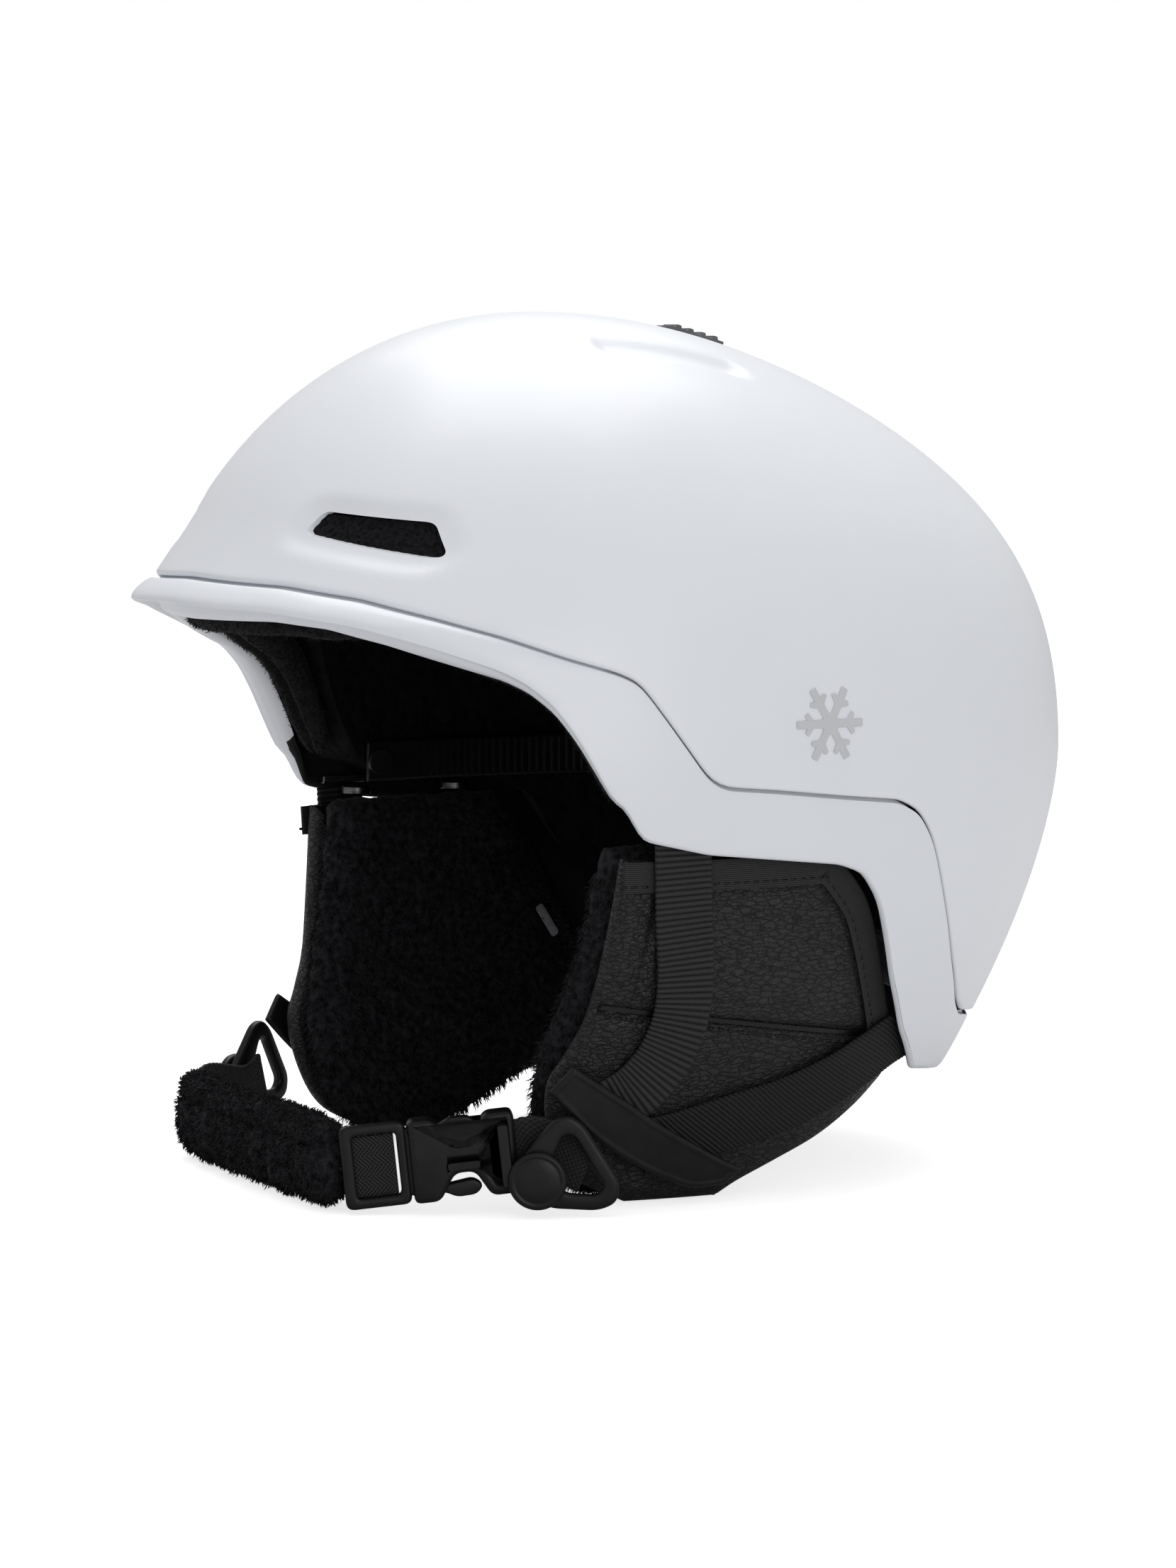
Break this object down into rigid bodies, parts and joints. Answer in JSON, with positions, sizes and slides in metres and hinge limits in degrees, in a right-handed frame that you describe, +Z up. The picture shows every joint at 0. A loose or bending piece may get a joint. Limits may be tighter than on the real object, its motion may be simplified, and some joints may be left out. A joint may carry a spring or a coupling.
{
  "type": "ski helmet",
  "caption": "Ski helmet with two-piece hard shell, foam liner, sliding vent, dial fit cradle, soft ear pads and a padded chin strap with a side-release buckle.",
  "frame": {"origin": "on the floor under the middle of the helmet's box, as it stands on its ear pads", "axes": "+X to the wearer's left, -Y to the wearer's front, +Z up"},
  "size_m": [0.216, 0.2863, 0.244],
  "materials": {
    "shell": "satin white in-mould outer shell",
    "lower_shell": "smooth white lower shell",
    "foam": null,
    "fleece": "black brushed fleece",
    "plush": "black short-pile plush",
    "leather": "black grained synthetic leather",
    "webbing": "black woven polyester webbing",
    "black_plastic": "satin black moulded plastic",
    "grey_plastic": "dark grey moulded plastic",
    "steel": "plain steel fasteners"
  },
  "bodies": {
    "root": {"shell_upper": "shell", "shell_lower": "lower_shell", "eps_liner": "foam", "vent_mesh_left": "fleece", "vent_mesh_right": "fleece", "comfort_brow": "fleece", "comfort_crown": "fleece", "fit_band_left": "black_plastic", "fit_band_right": "black_plastic", "fit_peg_left": "grey_plastic", "fit_peg_right": "grey_plastic", "goggle_base": "black_plastic", "goggle_stud": "steel", "ear_snap_front_left": "steel", "ear_snap_front_right": "steel", "ear_snap_rear_left": "steel", "ear_snap_rear_right": "steel", "strap_front_left": "webbing", "strap_front_right": "webbing", "strap_rear_left": "webbing", "strap_rear_right": "webbing", "strap_yoke_left": "black_plastic", "strap_yoke_right": "black_plastic", "anchor_front_left": "steel", "anchor_front_right": "steel", "anchor_rear_left": "steel", "anchor_rear_right": "steel", "strap_ring_left": "black_plastic", "strap_ring_right": "black_plastic", "ring_disc_left": "black_plastic", "ring_disc_right": "black_plastic", "chin_webbing_left": "webbing", "chin_webbing_right": "webbing", "buckle_female": "black_plastic"},
    "vent_slider": {"vent_knob": "grey_plastic", "vent_shutter": "black_plastic"},
    "fit_cradle_body": {"fit_cradle": "black_plastic", "fit_pad": "fleece", "fit_housing": "black_plastic"},
    "fit_dial_body": {"fit_dial": "grey_plastic"},
    "goggle_flap": {"goggle_clip": "black_plastic"},
    "ear_left": {"ear_pad_left": "leather", "ear_plush_left": "plush"},
    "ear_right": {"ear_pad_right": "leather", "ear_plush_right": "plush"},
    "chin_strap": {"chin_pad": "plush", "buckle_male": "black_plastic", "chin_webbing_front": "webbing"},
    "latch_arm_upper": {"latch_upper": "black_plastic"},
    "latch_arm_lower": {"latch_lower": "black_plastic"}
  },
  "joints": [
    {"name": "vent_slide", "type": "slide", "parent": "root", "child": "vent_slider", "axis": [0, -0.9666, 0.2563], "range_m": [0, 0.015]},
    {"name": "fit_slide", "type": "slide", "parent": "root", "child": "fit_cradle_body", "axis": [0, -1, 0], "range_m": [0, 0.01], "deforming": ["fit_band_left", "fit_band_right"]},
    {"name": "fit_dial_turn", "type": "hinge", "parent": "fit_cradle_body", "child": "fit_dial_body", "pos_m": [0, 0.0977, 0.057], "axis": [0, 1, 0], "range_deg": [0, 270]},
    {"name": "goggle_clip_lift", "type": "hinge", "parent": "root", "child": "goggle_flap", "pos_m": [0, 0.1422, 0.11562], "axis": [1, 0, 0], "range_deg": [0, 100], "stiffness_Nm_per_rad": 0.02, "springref_deg": -11.46},
    {"name": "ear_left_flex", "type": "hinge", "parent": "root", "child": "ear_left", "pos_m": [0.1, -0.0159, 0.097], "axis": [0, 1, 0], "range_deg": [0, 10], "stiffness_Nm_per_rad": 3, "springref_deg": -5.73},
    {"name": "ear_right_flex", "type": "hinge", "parent": "root", "child": "ear_right", "pos_m": [-0.1, -0.0159, 0.097], "axis": [0, -1, 0], "range_deg": [0, 10], "stiffness_Nm_per_rad": 3, "springref_deg": -5.73},
    {"name": "buckle_release", "type": "slide", "parent": "root", "child": "chin_strap", "axis": [-0.4375, -0.8931, -0.1045], "range_m": [0, 0.024], "deforming": ["chin_webbing_right", "latch_upper", "latch_lower"]},
    {"name": "latch_upper_flex", "type": "hinge", "parent": "chin_strap", "child": "latch_arm_upper", "pos_m": [0.06275, -0.10016, 0.02197], "axis": [-0.898, 0.4399, 0], "range_deg": [0, 5], "stiffness_Nm_per_rad": 0.1},
    {"name": "latch_lower_flex", "type": "hinge", "parent": "chin_strap", "child": "latch_arm_lower", "pos_m": [0.06349, -0.09866, 0.00606], "axis": [0.898, -0.4399, 0], "range_deg": [0, 5], "stiffness_Nm_per_rad": 0.1}
  ],
  "couplings": [
    {"joint": "fit_dial_turn", "follows": "fit_slide", "rad_per_m": 471.2},
    {"joint": "latch_lower_flex", "follows": "latch_upper_flex", "ratio": 1}
  ]
}
